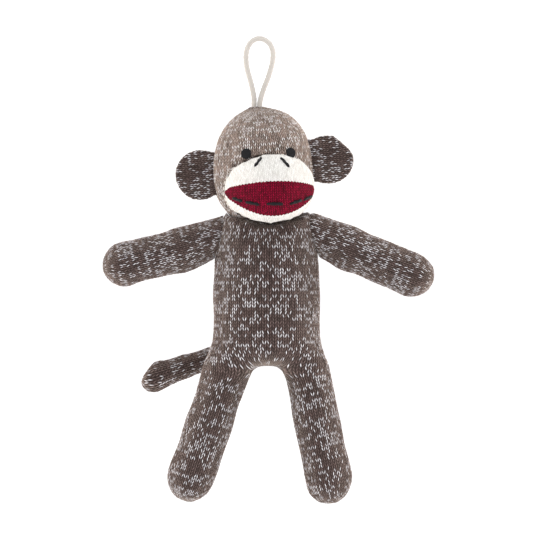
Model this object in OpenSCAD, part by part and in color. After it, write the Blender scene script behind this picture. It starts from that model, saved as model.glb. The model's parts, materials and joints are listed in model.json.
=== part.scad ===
// Stuffed knitted monkey that hangs by a cord loop.
// +Z is up towards the head, the toy faces -Y, and its own left side is +X.
// The origin is the inside top of the hanging loop, where the hook or peg goes.

/* [Body] */
// Half width of the torso at the belly
belly_w = 29.5; // [27:0.5:31]
// Half depth of the torso from front to back
belly_d = 21.2; // [20.8:0.1:22.5]
// Height where the torso starts, under the head
torso_top_z = -94.4; // [-95:0.1:-94.2]
// Thickness of the knitted covers
cover_t = 1.4; // [1:0.1:1.6]

/* [Head] */
// Half width of the head
head_w = 27.6; // [26:0.2:29]
// Half depth of the head
head_d = 25; // [24:0.2:26]
// Half height of the head
head_h = 32; // [31:0.2:32.4]
// Lean of the crown to the toy's own right, in degrees
head_tilt = 5; // [0:0.5:6]
// Turn of the face to the toy's own left, in degrees
face_turn = 8; // [0:0.5:10]
// How far the muzzle stands out of the head
muzzle_out = 14.5; // [10:0.5:18]

/* [Limbs] */
// Radius of the arms
arm_r = 12.3; // [11:0.1:12.6]
// Shoulder to hand-end centre, left arm
arm_left_len = 41.5; // [30:0.5:50]
// Shoulder to hand-end centre, right arm
arm_right_len = 39; // [30:0.5:50]
// Droop of the left arm, in degrees
arm_left_droop = 21.5; // [10:0.5:30]
// Droop of the right arm, in degrees
arm_right_droop = 14; // [10:0.5:30]
// Radius of the legs
leg_r = 12.8; // [11:0.1:13]
// Hip to foot-end centre
leg_len = 56; // [45:0.5:65]
// Outward lean of the left leg, in degrees
leg_left_splay = 11.3; // [5:0.1:20]
// Outward lean of the right leg, in degrees
leg_right_splay = 18.7; // [5:0.1:20]
// Radius of the tail
tail_r = 6.9; // [5:0.1:7]
// Root centre to tip centre of the tail
tail_len = 66; // [50:1:70]
// Downward slope of the tail, in degrees
tail_droop = 18.5; // [0:1:25]

/* [Loop] */
// Diameter of the loop's soft cotton cord
cord_d = 2.8; // [2:0.1:3]

/* [Hidden] */
$fn = 64;
// Clearance between solids on different bodies
gap = 0.3;
// Clearance between a cover and the stuffing inside it
fill_gap = 0.2;
thread_d = 1.2;

// Head ellipsoid, and the ball under it that rolls in the torso's open top
head_c = [1.5, 0, -68];
neck_c = [3, 0, -80];
neck_r = 24;
neck_hole_r = 11;
face_tilt = 1.5;

// Muzzle ellipsoid in the face's own frame, whose origin is the head's centre
muzzle_c = [2.6, -10, -12];
muzzle_s = [25.4, head_d - 10 + muzzle_out, 20];
muzzle_back_y = -23.2;
chin_z = -24.6;
eye_p = [11.7, 5.5];
eye_r = 2.75;

// Ears: root beside the head's side, in the head's own tilted frame
ear_r = 13.9;
ear_gap = 1.5;
ear_root_z = [-0.2, -2.6];
ear_root_y = 2;
ear_out = [8, 5.8];
ear_thick = 5.6;
ear_cup = 3;
ear_t = 1.1;

torso_x = 4;
torso_bottom_z = -173.7;
shoulder_z = [-113.4, -111.8];
hip_z = -187;
tail_z = -162.5;
hip_x = [26.5, -19.5];

// Ring heights of the torso and the half width at each
torso_rings = [
    [torso_top_z, 23.7],
    [-99.5, 25.5],
    [-110, 27.3],
    [-124, 28.9],
    [-142, belly_w],
    [-158, belly_w + 0.4],
    [-166, belly_w + 1.4],
    [-170, belly_w + 1.2],
    [torso_bottom_z, belly_w - 1.5]
];

// Route of the loop's cord, from the crown up and round the hook and back: x and z
loop_route = [
    [-3, -37],
    [-3, -35],
    [-3, -32],
    [-3.4, -29],
    [-4.2, -25],
    [-5.4, -20.5],
    [-6.6, -16],
    [-7.4, -11],
    [-7.2, -6],
    [-5.6, -1.8],
    [-3, 0.6],
    [0, 1.4],
    [3, 0.6],
    [5.8, -1.8],
    [7.4, -6],
    [7.2, -11],
    [6, -16],
    [4.6, -20.5],
    [2.8, -25],
    [1.4, -29],
    [0.6, -32],
    [0, -35],
    [0, -37]
];

knit = "#5f504d";
cream = "#ecebe7";
red = "#8a1230";
black = "#2a2a2e";
fibre = "#f4f4f2";
cord = "#e4ded8";

// ---- General shapes ----

// Half width of the torso at height z, straight between its rings
function torso_w(z) = lookup(-z, [for (r = torso_rings) [-r[0], r[1]]]);

// Depth over width: the torso is flatter than it is wide
function torso_d(z) = min(belly_d, torso_w(z) * 0.9);

// Point on the torso's surface at height z, at an angle round it
function torso_point(a, z, out) = [
    torso_x + (torso_w(z) + out) * cos(a),
    (torso_d(z) + out) * sin(a),
    z
];

// Point of an ellipsoid with centre c and half sizes s, on the side towards -Y, at x and z
function front(c, s, x, z) = [
    x,
    c[1] - s[1] * sqrt(max(0, 1 - pow((x - c[0]) / s[0], 2) - pow((z - c[2]) / s[2], 2))),
    z
];

function unit(v) = v / norm(v);

// Unit tangent of a route at point i
function tangent(p, i) = unit(p[min(i + 1, len(p) - 1)] - p[max(i - 1, 0)]);

// A round tube along a route, with a fixed side direction across it
module tube(route, d, across, sides = 8) {
    n = len(route);
    points = [
        for (i = [0:n - 1])
            let (t = tangent(route, i), u = unit(cross(t, across)), v = cross(u, t))
            for (k = [0:sides - 1])
                route[i] + d / 2 * (u * cos(360 * k / sides) + v * sin(360 * k / sides))
    ];
    walls = [
        for (i = [0:n - 2], k = [0:sides - 1])
            let (a = i * sides + k, b = i * sides + (k + 1) % sides)
            [a, b, b + sides, a + sides]
    ];
    start = [for (k = [sides - 1:-1:0]) k];
    end = [for (k = [0:sides - 1]) (n - 1) * sides + k];
    polyhedron(points = points, faces = concat(walls, [start, end]), convexity = 8);
}

module ellipsoid(c, s, grow = 0) {
    translate(c) scale([for (k = s) (k + grow) / s[0]]) sphere(r = s[0]);
}

// Outline of half a round-ended tube, grown by g, from its root end up to its tip
function capsule_outline(r, length, g, a0) = concat(
    [for (i = [0:12]) let (a = a0 - (a0) * i / 12) [(r + g) * cos(a), (r + g) * sin(a)]],
    [for (i = [0:12]) let (a = 90 * i / 12) [(r + g) * cos(a), length + (r + g) * sin(a)]]
);

function reversed(v) = [for (i = [len(v) - 1:-1:0]) v[i]];

// A stuffed limb's cover: a round-ended tube, open at its root where the seam closes it
module limb_cover(r, length) {
    outer = capsule_outline(r, length, 0, -62);
    inner = capsule_outline(r, length, -cover_t, -62);
    rotate_extrude() polygon(concat(outer, reversed(inner)));
}

// The stuffing of a limb, hollowed at its root for the wad it turns on
module limb_filling(r, length, wad_r) {
    fill_r = r - cover_t - fill_gap;
    difference() {
        union() {
            cylinder(r = fill_r, h = length);
            translate([0, 0, length]) sphere(r = fill_r);
        }
        sphere(r = wad_r + gap);
    }
}

// Turns a limb from +Z to the direction at an angle below level, to one side
module to_side(side, below) {
    rotate([0, side * (90 + below), 0]) children();
}

// ---- Placing ----

module in_head() {
    translate(head_c) rotate([0, -head_tilt, 0]) children();
}

module in_face() {
    translate(head_c) rotate([0, -face_tilt, face_turn]) children();
}

function shoulder_c(i) = let (z = shoulder_z[i], side = i == 0 ? 1 : -1)
    [torso_x + side * (torso_w(z) + gap + arm_r), 0, z];

function hip_c(i) = [hip_x[i], 0, hip_z];

tail_c = [6, torso_d(tail_z) + gap + tail_r, tail_z];

module at_arm(i) {
    side = i == 0 ? 1 : -1;
    droop = i == 0 ? arm_left_droop : arm_right_droop;
    translate(shoulder_c(i)) to_side(side, droop) children();
}

module at_leg(i) {
    side = i == 0 ? 1 : -1;
    splay = i == 0 ? leg_left_splay : leg_right_splay;
    translate(hip_c(i)) to_side(side, 90 - splay) children();
}

// ---- Head ----

module head_solid(grow) {
    ellipsoid_head(grow);
    translate(neck_c) sphere(r = neck_r + grow);
}

module ellipsoid_head(grow) {
    in_head() ellipsoid([0, 0, 0], [head_w, head_d, head_h], grow);
}

module head_cover() {
    color(knit) difference() {
        head_solid(0);
        head_solid(-cover_t);
        translate([neck_c[0], 0, -120]) cylinder(r = neck_hole_r, h = 25);
    }
}

module head_filling() {
    color(fibre) head_solid(-cover_t - fill_gap);
}

module muzzle_solid(grow) {
    ellipsoid(muzzle_c, muzzle_s, grow);
}

// Room behind the muzzle for the head, and under it for the torso's top
module behind_muzzle() {
    translate(-head_c) ellipsoid_head(fill_gap);
    translate(neck_c - head_c) sphere(r = neck_r + fill_gap);
    translate([-40, muzzle_back_y, chin_z - 40]) cube([80, 60, 40]);
    translate([-40, -2, -60]) cube([80, 60, 100]);
}

module muzzle_cover() {
    color(cream) in_face() difference() {
        muzzle_solid(0);
        muzzle_solid(-cover_t);
        rotate([0, face_tilt, 0]) rotate([0, 0, -face_turn]) behind_muzzle();
    }
}

module muzzle_filling() {
    color(fibre) in_face() difference() {
        muzzle_solid(-cover_t - fill_gap);
        rotate([0, face_tilt, 0]) rotate([0, 0, -face_turn]) behind_muzzle();
    }
}

module muzzle_seam() {
    route = [
        for (i = [0:30])
            let (
                a = -30 + 240 * i / 30,
                z = muzzle_c[2] + 17.9 * sin(a),
                side = 0.97 * (head_w + 1) * sqrt(1 - pow(z / (head_h + 1), 2)),
                x = min(side, muzzle_c[0] + 24.4 * cos(a))
            )
            front([0, 0, 0], [head_w + 1, head_d + 1, head_h + 1], x, z)
    ];
    color(cream) in_face() tube(route, thread_d, [0, 1, 0.01], 6);
}

// The red mouth: an almond of two arcs
module lips() {
    half = 24.2;
    up = 4.5;
    down = 14.5;
    r_up = (half * half + up * up) / (2 * up);
    r_down = (half * half + down * down) / (2 * down);
    color(red) in_face() intersection() {
        difference() {
            muzzle_solid(0.7);
            muzzle_solid(0.1);
        }
        translate([muzzle_c[0], 0, -13.8]) rotate([90, 0, 0]) linear_extrude(60) intersection() {
            translate([0, up - r_up]) circle(r = r_up, $fn = 96);
            translate([0, r_down - down]) circle(r = r_down, $fn = 96);
        }
        translate([-40, -60, -60]) cube([80, 52, 100]);
    }
}

// Ends of the mouth's running stitches, as x from the muzzle's middle and z in the face's frame
mouth_ends = [
    [[-20.5, -17.8], [-15.4, -19.6]],
    [[-13, -20.2], [-6, -21.6]],
    [[-1, -21.4], [7, -21.4]],
    [[11, -21.3], [17, -19.3]],
    [[18.6, -19], [22.6, -16.8]]
];

// A stitch that follows the muzzle, grown a little, between two points given as x and z
module surface_stitch(grow, from, to) {
    route = [
        for (i = [0:4])
            let (p = from + (to - from) * i / 4)
            front(muzzle_c, muzzle_s + [1, 1, 1] * grow, muzzle_c[0] + p[0], p[1])
    ];
    tube(route, thread_d, [0, 1, 0.01], 8);
}

module mouth_stitches() {
    color(black) in_face() for (e = mouth_ends)
        surface_stitch(1.1, e[0], e[1]);
}

module nostril_stitches() {
    color(black) in_face() for (s = [-1, 1])
        surface_stitch(0.4, [s * 5.6, 3.2], [s * 9.6, -1.6]);
}

// An embroidered eye: a low round pad on the head's surface
module eye(side) {
    p = front([0, 0, 0], [head_w, head_d, head_h], side * eye_p[0], eye_p[1]);
    color(black) in_face() translate(p + [side * 0.5 + 0.4, -0.5, 0.1])
        rotate([0, 0, side * 24]) scale([1, 0.4, 1]) sphere(r = eye_r);
}

module eye_left() { eye(1); }
module eye_right() { eye(-1); }

// ---- Hanging loop ----

module hanging_loop() {
    color(cord) tube([for (p = loop_route) [p[0], 0, p[1]]], cord_d, [0, 1, 0], 8);
}

// The thread that gathers the crown round the loop's ends
module crown_stitches() {
    color(knit) translate([-1.5, 0, -36.4]) rotate_extrude() translate([4.4, 0]) circle(d = thread_d, $fn = 24);
}

// ---- Ears ----

ear_root_x = -head_w - ear_gap;

// Places a piece of the right ear, or mirrors it to the left
module at_ear(i) {
    in_head() mirror([i == 0 ? 1 : 0, 0, 0]) translate([ear_root_x, ear_root_y, ear_root_z[i]]) children();
}

// Half outline of a cupped disc, as distance from its axis and height along it
function ear_outline(in) = [
    for (side = [1, -1], i = [0:12])
        let (
            t = side > 0 ? i / 12 : 1 - i / 12,
            r = (ear_r - in) * t,
            half = (ear_thick / 2 - in) * sqrt(1 - pow(t, 4))
        )
        [r, side * half - ear_cup * pow(r / ear_r, 2)]
];

// A cupped disc with its centre out from its flat root, which reaches to x = -root
module ear_solid(out, in, root) {
    difference() {
        translate([-out, 0, 0]) rotate([-90, 0, 0]) rotate_extrude() polygon(ear_outline(in));
        translate([-root, -20, -20]) cube([40, 40, 40]);
    }
}

module ear_cover(i) {
    color(knit) at_ear(i) difference() {
        ear_solid(ear_out[i], 0, 0);
        ear_solid(ear_out[i], ear_t, -1);
    }
}

module ear_filling(i) {
    color(fibre) at_ear(i) ear_solid(ear_out[i], ear_t + fill_gap, 0.5);
}

module ear_left_cover() { ear_cover(0); }
module ear_right_cover() { ear_cover(1); }
module ear_left_filling() { ear_filling(0); }
module ear_right_filling() { ear_filling(1); }

// ---- Neck ----

// The row of stitches that joins the head to the torso's open top
module neck_seam() {
    lift = 13.3;
    ring_r = sqrt(pow(neck_r + gap + thread_d / 2, 2) - lift * lift);
    color(knit) translate([neck_c[0], 0, neck_c[2] - lift])
        rotate_extrude() translate([ring_r, 0]) circle(d = thread_d, $fn = 24);
}

// ---- Torso ----

// Heights of the torso's rings, top to bottom, closer together where it curves
torso_zs = [-94.4, -96.8, -99.5, -104, -110, -117, -124, -133, -142, -150, -158, -162, -166, -170, -172.4, -173.7];

function torso_ring(z, sides, in) = [
    for (k = [0:sides - 1]) torso_point(360 * k / sides, z, -in)
];

// Closed torso solid, shrunk by an amount, from a top height down
module torso_solid(in, top) {
    sides = 40;
    zs = concat([top], [for (z = torso_zs) if (z < top - 1 && z > torso_bottom_z + in + 0.5) z], [torso_bottom_z + in]);
    n = len(zs);
    points = [for (z = zs) each torso_ring(z, sides, in)];
    walls = [
        for (i = [0:n - 2], k = [0:sides - 1])
            let (a = i * sides + k, b = i * sides + (k + 1) % sides)
            [a, b, b + sides, a + sides]
    ];
    lid = [for (k = [sides - 1:-1:0]) k];
    base = [for (k = [0:sides - 1]) (n - 1) * sides + k];
    polyhedron(points = points, faces = concat(walls, [lid, base]), convexity = 4);
}

module torso_cover() {
    color(knit) difference() {
        torso_solid(0, torso_top_z);
        torso_solid(cover_t, torso_top_z + 2);
    }
}

module torso_filling() {
    color(fibre) torso_solid(cover_t + fill_gap, neck_c[2] - neck_r - gap);
}

// Hand stitches that close the back after stuffing
module back_seam() {
    color(knit) for (i = [0:6])
        let (z = -118 - 4 * i)
        tube([for (k = [-1:1]) torso_point(90 - 3 * k, z - 0.8 * k, 0.3)], thread_d, [0, 1, 0.01], 8);
}

// A ring of thread on the torso round the root of an arm
module arm_seam(i) {
    c = shoulder_c(i);
    side = i == 0 ? 1 : -1;
    route = [
        for (k = [0:24])
            let (a = 352 * k / 24, y = 8.6 * cos(a), z = c[2] + 8.6 * sin(a))
            [torso_x + side * (torso_w(z) * sqrt(1 - pow(y / torso_d(z), 2)) + 0.2), y, z]
    ];
    color(knit) tube(route, thread_d, [1, 0.01, 0], 6);
}

module arm_left_seam() { arm_seam(0); }
module arm_right_seam() { arm_seam(1); }

module tail_seam() {
    route = [
        for (k = [0:16])
            let (a = -122 + 244 * k / 16, x = tail_c[0] + 5 * cos(a), z = tail_c[2] + 5 * sin(a))
            [x, torso_d(z) * sqrt(1 - pow((x - torso_x) / torso_w(z), 2)) + 0.2, z]
    ];
    color(knit) tube(route, thread_d, [0.01, 1, 0], 6);
}

// ---- Arms ----

arm_wad_r = 9.5;

module arm_cover(i) {
    color(knit) at_arm(i) limb_cover(arm_r, i == 0 ? arm_left_len : arm_right_len);
}

module arm_filling(i) {
    color(fibre) at_arm(i) limb_filling(arm_r, i == 0 ? arm_left_len : arm_right_len, arm_wad_r);
}

module arm_wad(i) {
    color(fibre) translate(shoulder_c(i)) sphere(r = arm_wad_r);
}

module arm_left_cover() { arm_cover(0); }
module arm_right_cover() { arm_cover(1); }
module arm_left_filling() { arm_filling(0); }
module arm_right_filling() { arm_filling(1); }
module arm_left_shoulder_wad() { arm_wad(0); }
module arm_right_shoulder_wad() { arm_wad(1); }

// ---- Legs ----

leg_wad_r = 10;

module leg_cover(i) {
    color(knit) at_leg(i) limb_cover(leg_r, leg_len);
}

module leg_filling(i) {
    color(fibre) at_leg(i) limb_filling(leg_r, leg_len, leg_wad_r);
}

module leg_wad(i) {
    color(fibre) translate(hip_c(i)) sphere(r = leg_wad_r);
}

module leg_left_cover() { leg_cover(0); }
module leg_right_cover() { leg_cover(1); }
module leg_left_filling() { leg_filling(0); }
module leg_right_filling() { leg_filling(1); }
module leg_left_hip_wad() { leg_wad(0); }
module leg_right_hip_wad() { leg_wad(1); }

// ---- Tail ----

module at_tail() {
    translate(tail_c) to_side(-1, tail_droop) children();
}

module tail_cover() {
    color(knit) at_tail() limb_cover(tail_r, tail_len);
}

module tail_filling() {
    color(fibre) at_tail() limb_filling(tail_r, tail_len, 1);
}

head_cover();
head_filling();
muzzle_cover();
muzzle_filling();
muzzle_seam();
lips();
mouth_stitches();
nostril_stitches();
eye_left();
eye_right();
hanging_loop();
crown_stitches();
ear_left_cover();
ear_right_cover();
ear_left_filling();
ear_right_filling();
neck_seam();
torso_cover();
torso_filling();
back_seam();
arm_left_seam();
arm_right_seam();
tail_seam();
arm_left_cover();
arm_left_filling();
arm_left_shoulder_wad();
arm_right_cover();
arm_right_filling();
arm_right_shoulder_wad();
leg_left_cover();
leg_left_filling();
leg_left_hip_wad();
leg_right_cover();
leg_right_filling();
leg_right_hip_wad();
tail_cover();
tail_filling();
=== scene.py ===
import math

import bpy
import numpy as np
import openvdb
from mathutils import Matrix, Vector
from mathutils.bvhtree import BVHTree
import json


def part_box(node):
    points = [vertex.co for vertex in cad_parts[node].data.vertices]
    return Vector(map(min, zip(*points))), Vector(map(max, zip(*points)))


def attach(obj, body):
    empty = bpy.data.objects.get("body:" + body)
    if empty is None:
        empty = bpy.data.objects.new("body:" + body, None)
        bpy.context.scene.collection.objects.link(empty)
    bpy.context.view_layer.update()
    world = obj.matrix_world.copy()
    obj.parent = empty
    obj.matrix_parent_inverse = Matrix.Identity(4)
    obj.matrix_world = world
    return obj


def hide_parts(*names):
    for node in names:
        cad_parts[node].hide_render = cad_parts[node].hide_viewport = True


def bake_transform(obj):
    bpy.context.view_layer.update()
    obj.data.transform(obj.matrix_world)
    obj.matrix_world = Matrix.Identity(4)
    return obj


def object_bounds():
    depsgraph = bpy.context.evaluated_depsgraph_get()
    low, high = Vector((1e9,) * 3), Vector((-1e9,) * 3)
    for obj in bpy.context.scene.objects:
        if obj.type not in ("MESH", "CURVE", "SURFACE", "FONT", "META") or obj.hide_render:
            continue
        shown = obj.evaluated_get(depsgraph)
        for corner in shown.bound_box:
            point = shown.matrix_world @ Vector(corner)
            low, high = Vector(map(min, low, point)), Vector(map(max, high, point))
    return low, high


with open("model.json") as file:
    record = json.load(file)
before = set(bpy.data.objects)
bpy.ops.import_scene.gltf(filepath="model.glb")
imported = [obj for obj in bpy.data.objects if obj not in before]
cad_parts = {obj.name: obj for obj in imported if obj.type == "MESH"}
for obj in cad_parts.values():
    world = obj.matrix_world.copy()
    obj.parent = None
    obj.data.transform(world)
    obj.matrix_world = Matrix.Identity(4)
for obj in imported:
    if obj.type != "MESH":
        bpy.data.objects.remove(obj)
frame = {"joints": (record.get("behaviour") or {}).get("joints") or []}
cad_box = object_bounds()

# Shapes are worked out in millimetres in the CAD frame and become metres in raw_object.
MM = 0.001

# The knit's gauge: one wale is a column of stitches, one course is a row
WALE = 2.2
COURSE = 1.8
FINE_WALE = 2.0
FINE_COURSE = 1.4
SLOPE = 1.35
FINE_SLOPE = 1.1
RELIEF = 0.42
TORSO_WALES = 72
SIDES = ("left", "right")


# ---- Places, all from the frame ----

def joint_at(name):
    """Where a joint turns, in millimetres."""
    row = next(j for j in frame["joints"] if j["name"] == name)
    return np.array(row["pos_m"], float) / MM


def box_of(*nodes):
    """The box round some CAD nodes, in millimetres: lowest corner, highest corner."""
    corners = [np.array(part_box(n), float) / MM for n in nodes]
    return np.min([c[0] for c in corners], axis=0), np.max([c[1] for c in corners], axis=0)


def middle(*nodes):
    low, high = box_of(*nodes)
    return (low + high) / 2


def turn_y(degrees):
    """The matrix that turns +X towards -Z for a positive angle."""
    c, s = math.cos(math.radians(degrees)), math.sin(math.radians(degrees))
    return np.array([[c, 0, s], [0, 1, 0], [-s, 0, c]])


def turn_z(degrees):
    c, s = math.cos(math.radians(degrees)), math.sin(math.radians(degrees))
    return np.array([[c, -s, 0], [s, c, 0], [0, 0, 1]])


NECK = joint_at("head_nod")
SHOULDER = {side: joint_at(f"arm_{side}_lift") for side in SIDES}
HIP = {side: joint_at(f"leg_{side}_splay") for side in SIDES}
TAIL_ROOT = joint_at("tail_swing")
OUTWARD = {"left": 1.0, "right": -1.0}

TORSO_LOW, TORSO_HIGH = box_of("torso_cover")
TORSO_X = (TORSO_LOW[0] + TORSO_HIGH[0]) / 2
ARM_R = (box_of("arm_left_cover")[1][1] - box_of("arm_left_cover")[0][1]) / 2
LEG_R = (box_of("leg_left_cover")[1][1] - box_of("leg_left_cover")[0][1]) / 2
TAIL_R = (box_of("tail_cover")[1][1] - box_of("tail_cover")[0][1]) / 2


def limb_tip(root, nodes, radius, outward):
    """The centre of a limb's round end, from the far corner of its box."""
    low, high = box_of(*nodes)
    x = high[0] - radius if outward > 0 else low[0] + radius
    return np.array([x, root[1], low[2] + radius])


HAND = {s: limb_tip(SHOULDER[s], [f"arm_{s}_cover"], ARM_R, OUTWARD[s]) for s in SHOULDER}
FOOT = {s: limb_tip(HIP[s], [f"leg_{s}_cover"], LEG_R, OUTWARD[s]) for s in HIP}
TAIL_TIP = limb_tip(TAIL_ROOT, ["tail_cover"], TAIL_R, -1)

# The head's ellipsoid and the face's own frame, as in the CAD
HEAD_C = np.array([1.5, 0, -68.0])
HEAD_S = np.array([27.6, 25, 32])
HEAD_TILT = turn_y(-5)
# The ball of the head's underside that rolls in the torso's dished top
NECK_R = 25.5
FACE = turn_y(-1.5) @ turn_z(8)
MUZZLE_C = np.array([1.9, -10, -12.0])
MUZZLE_S = np.array([25.4, 29.5, 20])


# ---- Signed distances, on arrays of points ----

def smooth_min(a, b, k):
    h = np.clip(0.5 + 0.5 * (b - a) / k, 0, 1)
    return b * (1 - h) + a * h - k * h * (1 - h)


def smooth_max(a, b, k):
    return -smooth_min(-a, -b, k)


def smoothstep(t):
    t = np.clip(t, 0, 1)
    return t * t * (3 - 2 * t)


def ellipsoid(p, centre, sizes, turn=np.eye(3)):
    q = (p - centre) @ turn
    k0 = np.linalg.norm(q / sizes, axis=1)
    k1 = np.linalg.norm(q / sizes**2, axis=1)
    return k0 * (k0 - 1) / np.maximum(k1, 1e-9)


def capsule(p, a, b, radius_a, radius_b):
    along = b - a
    t = np.clip((p - a) @ along / (along @ along), 0, 1)
    return np.linalg.norm(p - a - t[:, None] * along, axis=1) - (radius_a + t * (radius_b - radius_a))


# Half widths of the torso down its height: shoulders, chest, belly, hips
TORSO_SHAPE = [
    (-90, 22.4), (-94.6, 23.8), (-99.5, 25.8), (-110, 28.4), (-124, 30.0), (-142, 30.8),
    (-156, 30.7), (-166, 30.7), (-172, 30.1), (-178, 29.0), (-190, 26),
]


# The torso's cover stands above its CAD top as a collar. The neck's ball and the chin press dents into it.
TORSO_END = -177.5
COLLAR = 2.2
NECK_GAP = 0.2
CHIN_GAP = 0.6
# How softly each leg runs into the torso
CROTCH_CREASE = {"left": 11, "right": 13}


def torso_half_width(z):
    heights = np.array([row[0] for row in TORSO_SHAPE], float)[::-1]
    widths = np.array([row[1] for row in TORSO_SHAPE], float)[::-1]
    return np.interp(z, heights, widths)


def torso_half_depth(z):
    return np.minimum(20.9, torso_half_width(z) * 0.88)


def torso_wall(p):
    """Distance to the torso's side wall, without its ends."""
    w, d = torso_half_width(p[:, 2]), torso_half_depth(p[:, 2])
    x, y = p[:, 0] - TORSO_X, p[:, 1]
    q = np.sqrt((x / w) ** 2 + (y / d) ** 2)
    slope = np.sqrt((x / w**2) ** 2 + (y / d**2) ** 2) / np.maximum(q, 1e-6)
    return (q - 1) / np.maximum(slope, 1e-6)


def body_shape(p):
    """The torso and both legs as one stuffed form."""
    whole = smooth_max(torso_wall(p), TORSO_END - p[:, 2], 10)
    for side, crease in CROTCH_CREASE.items():
        thigh = HIP[side] + [0.6 - 0.7 * OUTWARD[side], 0, 4]
        foot = FOOT[side] + FOOT_SHIFT[side]
        whole = smooth_min(whole, capsule(p, thigh, foot, LEG_R + 0.35, LEG_R + 0.5), crease)
    top = p[:, 2] - TORSO_HIGH[2] - COLLAR
    dish = NECK_R + NECK_GAP - np.linalg.norm(p - NECK, axis=1)
    chin = CHIN_GAP - muzzle_pad(to_face(p))
    return smooth_max(smooth_max(smooth_max(whole, top, 2.4), dish, 1.0), chin, 0.8)


# The head's lower half, and how far the head is hollowed behind the muzzle
JAW_C = np.array([2.8, 0, -79.5])
JAW_S = np.array([27.3, 23, 24])
JAW_END = -91.6
CROWN_R = 5.2
BEHIND_MUZZLE = 1.8


def head_shape(p):
    crown = HEAD_C + HEAD_TILT @ np.array([0, 0, HEAD_S[2] - CROWN_R - 0.3])
    egg = ellipsoid(p, HEAD_C + [0.8, 0, 0], HEAD_S + [0.5, -0.2, -0.2], turn_y(-1))
    egg = smooth_min(egg, np.linalg.norm(p - crown, axis=1) - CROWN_R, 4)
    jaw = smooth_max(ellipsoid(p, JAW_C, JAW_S), JAW_END - p[:, 2], 2.5)
    ball = np.linalg.norm(p - NECK, axis=1) - NECK_R
    whole = smooth_min(egg, smooth_min(ball, jaw, 1.5), 3)
    return smooth_max(whole, -BEHIND_MUZZLE - muzzle_pad(to_face(p)), 0.6)


def to_face(p):
    """Points in the face's own frame."""
    return (p - HEAD_C) @ FACE


def from_face(q):
    return np.asarray(q, float) @ FACE.T + HEAD_C


def muzzle_pad(q):
    """The muzzle's egg, in the face's frame: its lower half is a little taller."""
    lower = np.array([0, 0, 2.4])
    turn = turn_y(1)
    return np.where(
        q[:, 2] > MUZZLE_C[2],
        ellipsoid(q, MUZZLE_C, MUZZLE_S - 0.1, turn),
        ellipsoid(q, MUZZLE_C, MUZZLE_S - 0.1 + lower, turn),
    )


def muzzle_shape(p):
    """The muzzle's pad without what lies in the head, and without what lies deep in the chest."""
    q = to_face(p)
    behind = -(ellipsoid(q, np.zeros(3), HEAD_S - 1.6))
    under = np.minimum(-23.0 - q[:, 2], -1.5 - torso_wall(p))
    return np.maximum(smooth_max(muzzle_pad(q), behind, 0.8), under)


# How far the arm's axis has risen, and its radius, where it meets the torso
ARM_RISE = {"left": 6.2, "right": 4.4}
ARM_ROOT_R = {"left": 10.7, "right": 10.3}
# Small differences of the stuffed limbs from their straight CAD shapes
ARM_MIDDLE = {"left": np.array([6, 0, -1.1]), "right": np.array([-8, 0, -3.5])}
HAND_SHIFT = {"left": np.array([0.9, 0, 0.1]), "right": np.array([0.4, 0, -1.4])}
FOOT_SHIFT = {"left": np.array([0.1, 0, 0.2]), "right": np.array([0.6, 0, -0.8])}


def arm_shape(side):
    root, tip = SHOULDER[side], HAND[side]
    wall = root - OUTWARD[side] * np.array([ARM_R + 0.3, 0, 0]) + [0, 0, ARM_RISE[side]]
    inner = wall + (wall - root) * 0.4

    def shape(p):
        tube = smooth_min(
            capsule(p, inner, root + ARM_MIDDLE[side], ARM_ROOT_R[side], ARM_R - 0.3),
            capsule(p, root + ARM_MIDDLE[side], tip + HAND_SHIFT[side], ARM_R - 0.3, ARM_R),
            3,
        )
        hand = np.linalg.norm(p - tip - HAND_SHIFT[side], axis=1) - ARM_R - 0.5
        return smooth_max(smooth_min(tube, hand, 1), -1.2 - torso_wall(p), 1.2)

    return shape


def tail_shape(p):
    """A tail that swells to a slanted, blunt tip."""
    tip = TAIL_TIP + [-2.2, 0, -2.6]
    middle_of = TAIL_ROOT + (tip - TAIL_ROOT) * 0.74
    tube = smooth_min(
        capsule(p, TAIL_ROOT - [0, 0, 1.4], middle_of, TAIL_R - 0.7, TAIL_R - 0.4),
        capsule(p, middle_of, tip, TAIL_R - 0.3, TAIL_R + 1.5),
        1.5,
    )
    stub = capsule(p, TAIL_ROOT, TAIL_ROOT - [0, 7, 0], TAIL_R - 0.9, TAIL_R - 1.2)
    tube = smooth_min(tube, stub, 2)
    corner = np.linalg.norm(p - tip - [2.8, 0, 2.4], axis=1) - TAIL_R - 0.8
    tube = smooth_min(tube, corner, 1)
    slant = (p - tip) @ np.array([-0.842, 0, 0.541]) - 5.7
    return smooth_max(smooth_max(tube, slant, 2.5), -2 - torso_wall(p), 1)


def ear_frame(side):
    """The ear disc's centre, and its own axes: outwards, forwards and up."""
    low, high = box_of(f"ear_{side}_cover")
    x = high[0] - EAR_R - 0.2 if side == "left" else low[0] + EAR_R + 0.2
    centre = np.array([x + 0.3 * OUTWARD[side], high[1] - 2.8, (low[2] + high[2]) / 2])
    axes = np.array([HEAD_TILT[:, 0] * OUTWARD[side], [0, -1, 0], HEAD_TILT[:, 2]]).T
    return centre, axes


EAR_R = 14.3


def ear_shape(side):
    centre, axes = ear_frame(side)

    def shape(p):
        q = (p - centre) @ axes
        r = np.hypot(np.maximum(q[:, 0], -7), q[:, 2])
        if side == "left":
            corner = np.degrees(np.arctan2(q[:, 2], q[:, 0])) - 42
            r = r + 1.9 * np.exp(-((corner / 28) ** 2)) * smoothstep(r / 10)
        cup = 3.2 * (r / EAR_R) ** 2 - 1.6 * np.exp(-((r / 6.5) ** 2))
        half = 1.6 + 0.9 * np.exp(-(((r - EAR_R + 2.4) / 1.7) ** 2)) + 0.4 * smoothstep(-q[:, 0] / 8)
        edge = np.maximum(r - (EAR_R - 2.2), 0)
        disc = np.hypot(edge, q[:, 1] - cup) - half
        return np.maximum(disc, -14.5 - q[:, 0])

    return shape


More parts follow.
